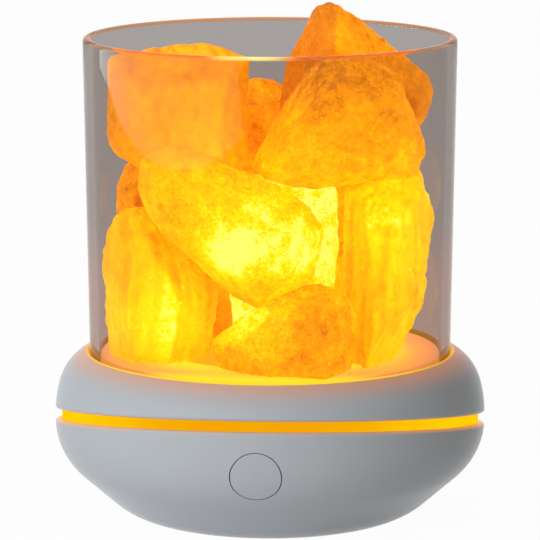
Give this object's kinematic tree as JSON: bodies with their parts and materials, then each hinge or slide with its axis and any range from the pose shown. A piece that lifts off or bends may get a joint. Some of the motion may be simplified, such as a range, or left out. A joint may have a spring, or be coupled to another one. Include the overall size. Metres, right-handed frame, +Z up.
{
  "type": "salt crystal lamp",
  "caption": "Table lamp with glowing salt crystals in an open glass cylinder, on a round pebble-shaped base with a slanted light ring and a push button.",
  "frame": {"origin": "on the table, under the centre of the base", "axes": "+Z up along the lamp's axis; the front with the button faces -Y"},
  "size_m": [0.125, 0.125, 0.1495],
  "materials": {
    "casing": "glossy moulded white plastic",
    "button": "glossy moulded white plastic",
    "light_guide": "frosted amber light guide, lit",
    "circuit_board": "white solder mask on glass epoxy",
    "led": "white package with yellow phosphor",
    "clear_glass": "clear polished glass",
    "seat_ring": "translucent silicone, lit from below",
    "diffuser": "frosted opal plastic, lit from below",
    "reflector": "white reflector plastic",
    "steel": "zinc-plated steel",
    "component": "black moulded plastic",
    "connector": "off-white nylon",
    "plated_steel": "nickel-plated steel",
    "rubber_foot": "light grey soft rubber",
    "lead_sleeve": "vinyl wire sleeve",
    "salt_crystal": "rough translucent rock salt, lit from inside"
  },
  "bodies": {
    "base": {"lower_casing": "casing", "upper_casing": "casing", "light_guide_ring": "light_guide", "ring_led_board": "circuit_board", "ring_leds": "led", "glass_seat_ring": "seat_ring", "diffuser_window": "diffuser", "reflector_cone": "reflector", "led_board": "circuit_board", "board_leds": "led", "led_board_screws": "steel", "control_board": "circuit_board", "control_board_screws": "steel", "control_components": "component", "board_connectors": "connector", "usb_socket_shell": "plated_steel", "usb_socket_tongue": "component", "tact_switch": "component", "switch_board": "circuit_board", "switch_board_screws": "steel", "casing_screws": "steel", "rubber_feet": "rubber_foot", "led_board_lead": "lead_sleeve", "ring_board_lead": "lead_sleeve", "switch_lead": "lead_sleeve", "crystal_middle": "salt_crystal", "crystal_front_low": "salt_crystal", "crystal_upper_left": "salt_crystal", "crystal_upper_right": "salt_crystal", "crystal_right_tall": "salt_crystal", "crystal_left_tall": "salt_crystal", "crystal_peak": "salt_crystal", "crystal_core": "salt_crystal", "crystal_back_top": "salt_crystal", "crystal_left_back": "salt_crystal", "crystal_low_left_back": "salt_crystal", "crystal_low_right_back": "salt_crystal", "crystal_right_back": "salt_crystal", "crystal_middle_back": "salt_crystal"},
    "glass": {"glass_cylinder": "clear_glass"},
    "button": {"power_button": "button", "switch_plunger": "component"}
  },
  "joints": [
    {"name": "glass_lift", "type": "slide", "parent": "base", "child": "glass", "axis": [0, 0, 1], "range_m": [0, 0.11]},
    {"name": "button_press", "type": "slide", "parent": "base", "child": "button", "axis": [0, 0.9683, 0.2496], "range_m": [0, 0.0006], "stiffness_N_per_m": 1500}
  ]
}
